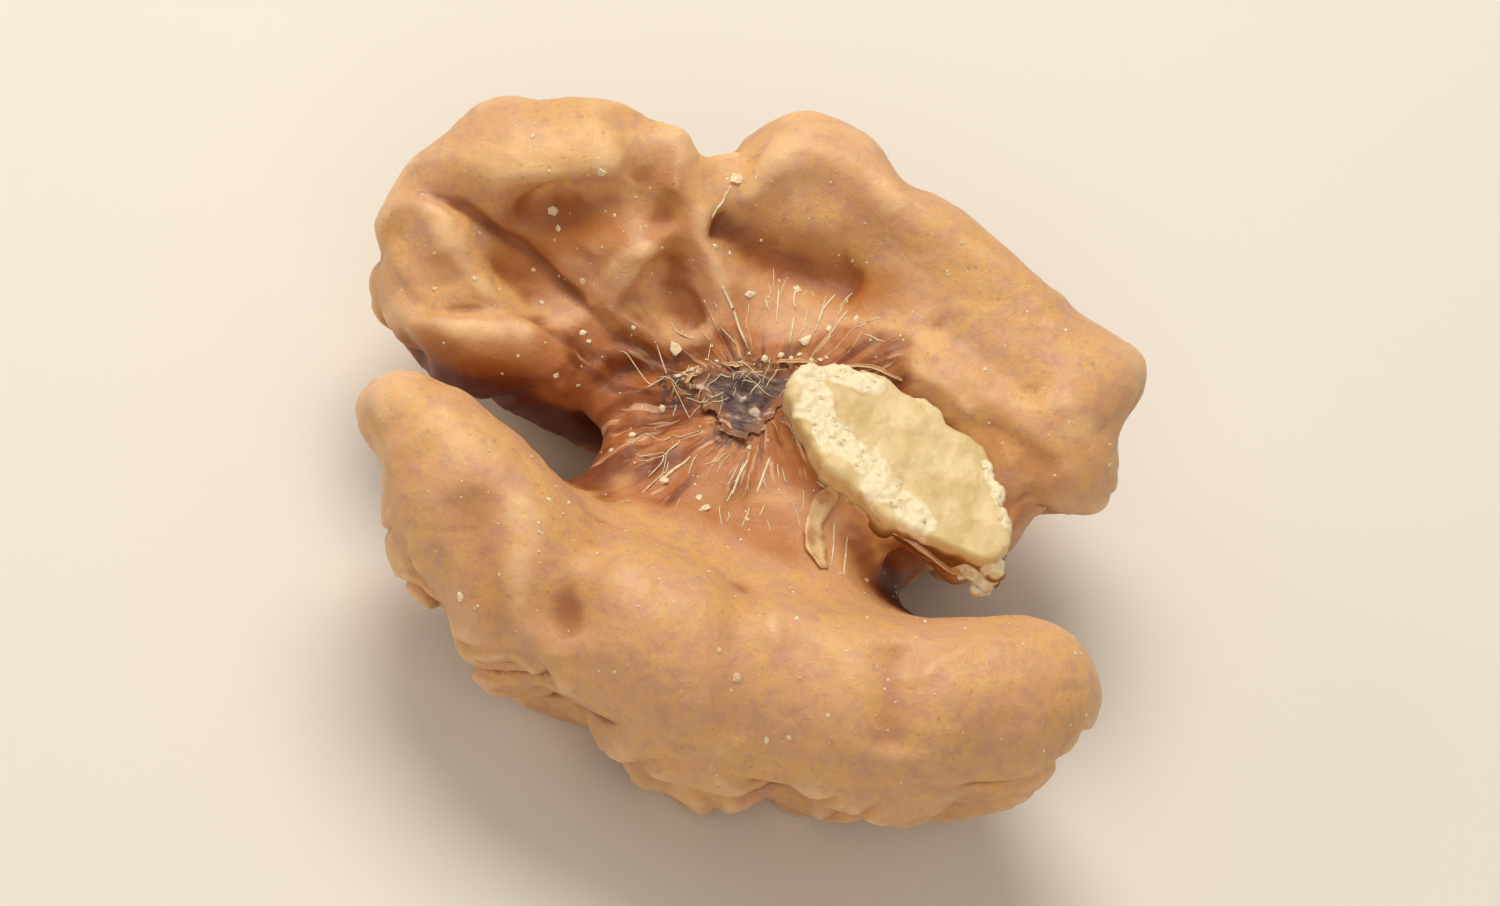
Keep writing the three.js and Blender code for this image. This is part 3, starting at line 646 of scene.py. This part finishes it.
stub = {
    "top": 10.9, "bottom": 8.8, "voxel": 0.08,
    # where the split face crumbled: half width, stops
    "crumbled": [(0.95, [(1.9, 2.3), (2.6, 1.2), (3.6, 0.4), (4.8, -0.2), (5.7, -0.8), (6.7, -1.5),
                         (7.8, -2.1)]),
                 (0.7, [(2.0, 3.0), (3.2, 3.4), (4.4, 3.5)]), (0.4, [(9.6, 1.7), (10.6, 0.5), (11.1, -0.8)])],
    "hanging": [(11.1, -2.3, 10.0, 0.7), (11.0, -2.6, 9.5, 0.6), (10.5, -2.6, 9.5, 0.5),
                (11.1, -2.9, 9.1, 0.42), (10.2, -2.7, 9.2, 0.38)],
}


def lump(centre, size, rng, flat=0.7, normal=Vector((0, 0, 1))):
    # an angular crumb of twelve corners, flattened on the face that it lies on
    golden = (1 + math.sqrt(5)) / 2
    corners = [(a, b * golden, 0) for a in (-1, 1) for b in (-1, 1)]
    corners = [Vector((c[k], c[(k + 1) % 3], c[(k + 2) % 3])) for k in (0, 2, 1) for c in corners]
    points = [c.normalized() * size * rng.uniform(0.45, 1.2) for c in corners]
    axis = Vector((rng.gauss(0, 1), rng.gauss(0, 1), rng.gauss(0, 1))).normalized()
    turn = Matrix.Rotation(rng.uniform(0, 6.28), 3, axis)
    points = [turn @ p for p in points]
    points = [p - normal * p.dot(normal) * (1 - flat) + Vector(centre) for p in points]
    faces = []
    for i in range(12):
        for j in range(i + 1, 12):
            for k in range(j + 1, 12):
                a, b, c = corners[i], corners[j], corners[k]
                if max((a - b).length, (b - c).length, (a - c).length) < 2.1:
                    faces.append((i, j, k) if (b - a).cross(c - a).dot(a) > 0 else (i, k, j))
    return points, faces


def addLump(points, faces, *shape):
    more, moreFaces = lump(*shape)
    faces += [tuple(len(points) + v for v in f) for f in moreFaces]
    points += more


def carveStub(values):
    rng = random.Random(11)
    outline = smoothLine([(x, y, 0) for x, y in stubOutline + stubOutline[:1]], 0.2)[:-1]
    ragged = noiseAt(outline, 0.4, 21) * 0.14 + noiseAt(outline, 1.2, 22) * 0.2
    outward = outline - outline.mean(axis=0)
    outward /= np.linalg.norm(outward, axis=1)[:, None]
    outline = outline + outward * ragged[:, None]
    count = len(outline)
    points, faces = [], []
    top, bottom = values["top"], values["bottom"]
    levels = [(top, 0.1), (top - 0.2, 0.0), (bottom + 0.6, 0.1), (bottom, 0.8)]
    for z, inset in levels:
        points += [Vector((p[0], p[1], z)) for p in outline - outward * inset]
    for ring in range(3):
        for i in range(count):
            a, b = ring * count + i, ring * count + (i + 1) % count
            faces.append((a, a + count, b + count, b))
    faces.append(tuple(range(count)))
    faces.append(tuple(reversed(range(3 * count, 4 * count))))
    for x, y, z, size in values["hanging"]:
        addLump(points, faces, (x, y, z), size, rng)
    skin = Skin(remeshed(meshFrom("stub", points, faces), values["voxel"]))
    skin.settle(3)
    crumbly = np.zeros(len(skin.points))
    for width, stops in values["crumbled"]:
        line = smoothLine([(x, y, values["top"]) for x, y in stops])
        d = distanceToLine(skin.points, line)[0] + 0.45 * noiseAt(skin.points, 0.7, 23)
        crumbly = np.maximum(crumbly, 1 - fade(d, 0.45 * width, width))
    hangingTree = nearestOf([c[:3] for c in values["hanging"]])
    hanging = 1 - fade(np.array([hangingTree.find(Vector(p))[2] for p in skin.points]), 0.4, 0.6)
    # crumbled places are rough and stand a little proud; the clean split face has soft facets
    rough = 0.2 * np.abs(noiseAt(skin.points, 0.6, 24)) + 0.1 * noiseAt(skin.points, 0.3, 25)
    facets = 0.05 * noiseAt(skin.points, 0.5, 26)
    skin.push(0.3 * np.abs(noiseAt(skin.points, 1.9, 27)) + crumbly * rough + (1 - crumbly) * facets)
    skin.push(0.3 * hanging * noiseAt(skin.points, 0.5, 30)
              + (0.02 + 0.05 * crumbly) * noiseAt(skin.points, 0.17, 29))
    crumbly = np.maximum(crumbly, hanging)
    skin.points = np.clip(skin.points, np.array(cadBox[0]) / mm, np.array(cadBox[1]) / mm)
    skin.refresh()
    skin.store("crumbly", crumbly)
    depth = values["top"] - 0.25 - skin.points[:, 2] + 0.15 * noiseAt(skin.points, 0.7, 28)
    # painted shade on the stub's walls, darker lower down, and darkest at the far end, over the notch
    reachDown = 1.9 - 1.1 * fade(skin.points[:, 0], 4.5, 8.5)
    skin.store("under", fade(depth / reachDown, 0, 1) * fade(-skin.normals[:, 2], -0.8, -0.4))
    return skin


stubSkin = carveStub(stub)
stubTree = stubSkin.tree()
print("stub:", len(stubSkin.points), "points")
finishPiece("brokenStub", stubSkin.mesh, fleshMaterial)


scrap = {
    "outline": [(-2.8, 2.3), (-1.9, 3.1), (-0.8, 3.4), (0.3, 3.8), (1.3, 3.9), (1.7, 3.2), (1.1, 2.2),
                (0.9, 1.0), (0.3, -0.2), (-0.7, -0.1), (-1.1, 0.8), (-2.0, 1.5)],
    "step": 0.09, "lift": 0.05, "crumple": 0.4, "thick": 0.06,
    "flecks": [(-2.8, 2.3, 8.5), (-2.0, 3.1, 8.7), (-0.7, 3.2, 9.1), (0.2, 3.7, 9.4), (1.3, 3.9, 9.5),
               (2.2, 4.3, 9.8)],
}


def carveScrap(values):
    outline = values["outline"]
    xs, ys = np.arange(-4.4, 3.2, values["step"]), np.arange(-1.4, 4.9, values["step"])
    grid = np.array([(x, y, 0) for x in xs for y in ys])
    jitter = np.stack([noiseAt(grid, 0.5, s) for s in (31, 32)] + [np.zeros(len(grid))], axis=1) * 0.4
    inside = insideOutline(grid + jitter, outline)
    edge = distanceToLine(grid, np.array([(x, y, 0) for x, y in outline + outline[:1]], float))[0]
    wave = np.abs(noiseAt(grid, 1.0, 33)) + 0.4 * np.abs(noiseAt(grid, 0.35, 34))
    curl = 0.3 * np.exp(-edge / 0.3) * np.clip(noiseAt(grid, 0.8, 35), 0, 1)
    index, points, kept = {}, [], []
    for k in np.nonzero(inside)[0]:
        hit = kernelTree.ray_cast(Vector((grid[k][0], grid[k][1], 20)), down)[0]
        index[divmod(int(k), len(ys))] = len(points)
        points.append(hit + Vector((0, 0, values["lift"] + values["crumple"] * wave[k] + curl[k])))
        kept.append(math.exp(-edge[k] / 0.45))
    faces = [(index[i, j], index[i + 1, j], index[i + 1, j + 1], index[i, j + 1]) for i, j in index
             if (i + 1, j) in index and (i + 1, j + 1) in index and (i, j + 1) in index]
    used = sorted({v for f in faces for v in f})
    new = {old: k for k, old in enumerate(used)}
    faces = [tuple(new[v] for v in f) for f in faces]
    top = [points[v] for v in used]
    under = [p - Vector((0, 0, values["thick"])) for p in top]
    count = len(top)
    borders = {(a, b) for f in faces for a, b in zip(f, f[1:] + f[:1])}
    walls = [(b, a, a + count, b + count) for a, b in sorted(borders) if (b, a) not in borders]
    underside = [tuple(v + count for v in reversed(f)) for f in faces]
    skin = Skin(meshFrom("scrap", top + under, faces + underside + walls))
    skin.store("edge", np.array([kept[v] for v in used] * 2))
    return skin


scrapSkin = carveScrap(scrap)
scrapTree = scrapSkin.tree()
finishPiece("partitionScrap", scrapSkin.mesh, paperMaterial)
print("partition scrap laid on")


threads = {
    "thickness": 0.042,
    # thickness factor, stops
    "placed": [(1.6, [(-3.9, 9.5, 12.3), (-3.8, 8.7, 12.1), (-3.7, 8.0, 11.7)]),
               (2.0, [(-2.8, 5.9, 10.4), (-2.1, 5.4, 9.9), (-1.4, 4.6, 9.6), (-0.9, 4.1, 9.4)]),
               (1.6, [(0.4, 6.1, 9.8), (0.5, 5.5, 9.7), (0.6, 4.9, 9.6)]),
               (1.4, [(0.1, 7.6, 10.1), (0.1, 7.0, 9.9), (0.3, 6.5, 9.9)]),
               (2.2, [(-2.4, -2.8, 8.3), (-2.0, -2.0, 8.5), (-1.6, -1.4, 8.7)]),
               (2.0, [(0.5, -2.5, 8.8), (0.5, -1.6, 8.9), (0.6, -0.8, 9.0)]),
               (1.8, [(1.4, -2.1, 8.8), (1.4, -1.1, 9.0), (1.4, -0.3, 9.0)]),
               (1.6, [(1.6, 7.7, 10.4), (1.4, 6.8, 10.1), (1.4, 5.7, 9.9)]),
               (1.2, [(4.7, -2.1, 8.9), (5.0, -3.0, 8.7), (5.2, -4.0, 8.8)]),
               (1.2, [(5.4, -2.4, 8.6), (5.6, -3.2, 8.4), (5.8, -4.2, 8.6)]),
               (1.2, [(2.4, 7.0, 10.2), (2.2, 6.2, 10.0), (2.0, 5.4, 9.9)]),
               (1.3, [(-0.6, 7.2, 10.0), (-0.4, 6.4, 9.9), (-0.2, 5.6, 9.7)])],
    "loose": 90, "ring": (2.6, 5.6), "long": (0.4, 1.3),
    "matted": 40, "mattedLong": (0.4, 1.5),     # torn fibres, every way, over the scrap
}
tears = {
    # strips of torn skin: width, curl, stops
    "strips": [(0.9, 0.1, [(4.2, -1.5, 10.2), (4.0, -1.9, 9.6), (4.0, -2.6, 9.0), (4.3, -3.5, 8.9),
                           (4.9, -4.5, 8.9)]),
               (0.15, 0.06, [(2.6, 4.2, 10.2), (3.4, 4.4, 10.5), (4.4, 4.4, 10.7), (5.3, 4.2, 10.8)]),
               (0.2, 0.1, [(-1.7, 3.2, 8.9), (-1.1, 3.4, 9.1), (-0.5, 3.5, 9.3)]),
               (0.18, 0.12, [(-2.9, 2.2, 8.4), (-2.3, 2.8, 8.7)]),
               (0.2, 0.1, [(0.2, 3.8, 9.5), (0.9, 4.1, 9.7), (1.8, 4.3, 9.9)]),
               (0.2, 0.1, [(-1.0, 0.9, 9.0), (-0.4, 0.4, 9.0)])],
}
crumbs = {
    # place, size
    "placed": [((-10.2, 6.1, 10.9), 0.34), ((-9.9, 5.7, 10.7), 0.16), ((-8.9, 7.3, 12.9), 0.2),
               ((-7.9, 6.7, 11.4), 0.12), ((-10.2, 4.5, 9.0), 0.12), ((-8.2, 4.5, 9.3), 0.16),
               ((-7.5, 2.8, 8.3), 0.2), ((-9.5, 3.4, 8.5), 0.15), ((-7.9, 0.6, 8.0), 0.16),
               ((-3.6, 3.5, 8.6), 0.4), ((-3.7, 9.9, 12.3), 0.34), ((-3.5, 7.3, 11.3), 0.16),
               ((-2.8, 7.5, 10.9), 0.14), ((-1.6, 6.3, 10.0), 0.28), ((-4.7, -1.6, 7.5), 0.16),
               ((-4.1, -0.7, 7.8), 0.14), ((-13.7, 2.0, 8.8), 0.14), ((1.2, 5.2, 9.8), 0.3),
               ((0.1, 7.5, 10.1), 0.2), ((-3.4, 1.1, 7.6), 0.22), ((-2.3, -2.7, 8.3), 0.3),
               ((-0.7, -3.1, 8.7), 0.2), ((-0.3, -3.5, 8.7), 0.24), ((3.1, -12.1, 11.2), 0.22),
               ((5.0, -13.2, 9.4), 0.2), ((5.8, -13.0, 9.8), 0.12), ((1.4, -3.3, 8.7), 0.14),
               ((2.8, 6.6, 10.5), 0.22), ((8.4, 5.7, 11.7), 0.12), ((4.5, -8.8, 11.5), 0.14),
               ((6.9, -12.2, 11.0), 0.12), ((-8.4, -12.2, 9.4), 0.26), ((1.9, 6.0, 10.0), 0.16),
               ((-2.6, 1.9, 8.6), 0.14), ((0.5, -0.2, 9.1), 0.14)],
    "dust": 380, "size": (0.03, 0.085), "flecks": 46, "onStub": 44, "highest": 13.3,
}


def onSkin(point):
    # the nearest place on the kernel's skin, and its normal
    return kernelTree.find_nearest(Vector(point))[:2]


def addThread(stops, thickness, points, faces):
    line = [Vector(p) for p in smoothLine([tuple(s) for s in stops], 0.18)]
    sides = 5
    for k, p in enumerate(line):
        ahead = (line[min(k + 1, len(line) - 1)] - line[max(k - 1, 0)]).normalized()
        across = ahead.orthogonal().normalized()
        up = ahead.cross(across)
        radius = thickness * (0.35 + 0.65 * math.sin(math.pi * (k + 0.5) / len(line)) ** 0.5)
        start = len(points)
        for s in range(sides):
            angle = 2 * math.pi * s / sides
            points.append(p + (across * math.cos(angle) + up * math.sin(angle)) * radius)
        if k:
            for s in range(sides):
                t = (s + 1) % sides
                faces.append((start - sides + s, start - sides + t, start + t, start + s))
        if k in (0, len(line) - 1):
            ring = list(range(start, start + sides))
            faces.append(tuple(reversed(ring)) if k == 0 else tuple(ring))


def addRibbon(stops, width, curl, points, faces):
    # a thin curled strip of torn skin
    line = [Vector(p) for p in smoothLine(stops, 0.15)]
    across, thick = (-1, -0.5, 0, 0.5, 1), 0.04
    ring = len(across) * 2
    for k, p in enumerate(line):
        ahead = (line[min(k + 1, len(line) - 1)] - line[max(k - 1, 0)]).normalized()
        place, normal = onSkin(p)
        if (p - place).length < 0.5:
            p = place + normal * 0.06
        side = ahead.cross(normal).normalized()
        up = side.cross(ahead)
        end = 0.35 + 0.65 * math.sin(math.pi * (k + 0.5) / len(line)) ** 0.6
        half = width / 2 * end * (1 + 0.35 * noise.noise(p / 0.7))
        arch = [p + side * s * half + up * curl * (s * s - 0.2 + 0.4 * s) for s in across]
        start = len(points)
        points += [q + up * thick for q in arch] + [q - up * thick for q in reversed(arch)]
        if k:
            for s in range(ring):
                t = (s + 1) % ring
                faces.append((start - ring + t, start - ring + s, start + s, start + t))
        if k in (0, len(line) - 1):
            loop = list(range(start, start + ring))
            faces.append(tuple(loop) if k == 0 else tuple(reversed(loop)))


def layThreads(values):
    rng = random.Random(5)
    points, faces = [], []
    for factor, stops in values["placed"]:
        laid = [onSkin(stop) for stop in smoothLine(stops, 0.3)]
        addThread([place + normal * values["thickness"] * 0.4 for place, normal in laid],
                  values["thickness"] * factor * 0.8, points, faces)
    hub = Vector(kernel["hub"])
    for _ in range(values["loose"]):
        angle = rng.uniform(0, 2 * math.pi)
        start = rng.uniform(*values["ring"])
        length = rng.uniform(*values["long"])
        bend = rng.gauss(0, 0.05)
        laid = []
        for t in (0, 0.25, 0.5, 0.75, 1):
            turned = Vector((math.cos(angle + bend * t), math.sin(angle + bend * t), 0))
            place, normal = onSkin(hub + turned * (start + length * t))
            laid.append(place + normal * values["thickness"] * 0.3)
        addThread(laid, values["thickness"] * rng.uniform(0.35, 0.75), points, faces)
    spine = smoothLine(scrap["flecks"])
    for _ in range(values["matted"]):
        middle = Vector(spine[rng.randrange(len(spine))])
        middle += Vector((rng.gauss(0.2, 0.5), rng.gauss(-0.5, 0.7), 0))
        angle = rng.uniform(-0.5, 1.6)
        length = rng.uniform(*values["mattedLong"])
        laid = []
        for t in (-0.5, -0.25, 0, 0.25, 0.5):
            bent = angle + 0.9 * t * t
            start = Vector((middle.x + math.cos(bent) * length * t,
                            middle.y + math.sin(bent) * length * t, 20))
            hit = scrapTree.ray_cast(start, down)[0] or kernelTree.ray_cast(start, down)[0]
            laid.append(hit + Vector((0, 0, values["thickness"] * 0.5)))
        addThread(laid, values["thickness"] * rng.uniform(0.3, 0.75), points, faces)
    return meshFrom("threads", points, faces)


def layTears(values):
    points, faces = [], []
    for width, curl, stops in values["strips"]:
        addRibbon(stops, width, curl, points, faces)
    return meshFrom("tears", points, faces)


def scatterCrumbs(values):
    rng = random.Random(8)
    points, faces = [], []
    places = [(onSkin(p), size) for p, size in values["placed"]]
    heights = kernelPoints[:, 2]
    upper = np.nonzero((kernelNormals[:, 2] > 0.25) & (heights > 6) & (heights < values["highest"]))[0]
    for _ in range(values["dust"]):
        v = int(upper[rng.randrange(len(upper))])
        size = rng.uniform(*values["size"]) * (1.7 if rng.random() < 0.12 else 1)
        places.append(((Vector(kernelPoints[v]), Vector(kernelNormals[v])), size))
    fleckLine = smoothLine(scrap["flecks"])
    for _ in range(values["flecks"]):
        p = Vector(fleckLine[rng.randrange(len(fleckLine))])
        p += Vector((rng.gauss(0, 0.3), rng.gauss(0, 0.35), 0.2))
        places.append((onSkin(p), rng.uniform(0.06, 0.17)))
    for width, stops in stub["crumbled"]:
        line = smoothLine([(x, y, stub["top"]) for x, y in stops])
        for _ in range(round(values["onStub"] * width * len(line) / 30)):
            p = Vector(line[rng.randrange(len(line))])
            p += Vector((rng.gauss(0, 0.4), rng.gauss(0, 0.4), 0)) * width
            hit = stubTree.ray_cast(Vector((p.x, p.y, 20)), down)
            if hit[0] is not None and hit[0].z > stub["top"] - 0.6:
                places.append((hit[:2], rng.uniform(0.05, 0.17)))
    for (place, normal), size in places:
        addLump(points, faces, place + normal * size * 0.1, size, rng, 0.4, normal)
    return meshFrom("crumbs", points, faces)


finishPiece("paleThreads", layThreads(threads), bitsMaterial)
finishPiece("tornSkin", layTears(tears), tornSkinMaterial)
crumbPiece = finishPiece("dryCrumbs", scatterCrumbs(crumbs), bitsMaterial)
crumbPiece.data.shade_flat()
print("threads and crumbs laid on")


studio = {
    "floor": "#E9E6E0", "floorReach": 3.0, "floorRoughness": 0.8, "world": 0.3, "worldColour": "#FFF8EE",
    "sensor": 36,      # millimetres across the camera's sensor
    "target": (0.6, 0.75, 7.3), "distance": 220.0, "elevation": 55.0, "roll": 20.0, "width": 60.9,
    # name, place in millimetres, size in millimetres, power, colour
    "lights": [("skylight", (-60, 130, 235), 170, 0.56, "#FFF5E6"),
               ("front fill", (30, -200, 220), 260, 0.22, "#FFF0DC"),
               ("side glint", (-200, 40, 120), 90, 0.05, "#FFFFFF")],
}


def lookAt(place, target, roll=0.0):
    direction = Vector(target) - Vector(place)
    aimed = direction.to_track_quat("-Z", "Y").to_matrix().to_4x4()
    turn = aimed @ Matrix.Rotation(math.radians(roll), 4, "Z")
    return Matrix.Translation(Vector(place) * mm) @ turn


def buildStudio(values):
    reach = values["floorReach"]
    corners = [(-reach, -reach, 0), (reach, -reach, 0), (reach, reach, 0), (-reach, reach, 0)]
    floor = bpy.data.objects.new("floor", meshFrom("floor", corners, [(0, 1, 2, 3)]))
    scene.collection.objects.link(floor)
    material, shader = newMaterial("matte paper floor")
    shader.inputs["Base Color"].default_value = srgb(values["floor"])
    shader.inputs["Roughness"].default_value = values["floorRoughness"]
    floor.data.materials.append(material)
    world = bpy.data.worlds.new("studio")
    scene.world = world
    world.use_nodes = True
    background = world.node_tree.nodes["Background"]
    background.inputs["Color"].default_value = srgb(values["worldColour"])
    background.inputs["Strength"].default_value = values["world"]
    for name, place, lightSize, power, colour in values["lights"]:
        light = bpy.data.lights.new(name, "AREA")
        light.shape = "DISK"
        light.size = lightSize * mm
        light.energy = power
        light.color = srgb(colour)[:3]
        lamp = bpy.data.objects.new(name, light)
        lamp.matrix_world = lookAt(place, values["target"])
        scene.collection.objects.link(lamp)
    elevation = math.radians(values["elevation"])
    towards = Vector((0, -math.cos(elevation), math.sin(elevation)))
    place = Vector(values["target"]) + towards * values["distance"]
    camera = bpy.data.cameras.new("camera")
    camera.sensor_width = values["sensor"]
    camera.lens = values["sensor"] * values["distance"] / values["width"]
    camera.clip_start = 0.01
    view = bpy.data.objects.new("camera", camera)
    view.matrix_world = lookAt(place, values["target"], values["roll"])
    scene.collection.objects.link(view)
    scene.camera = view
    scene.view_settings.view_transform = "Standard"


buildStudio(studio)
print("studio built")
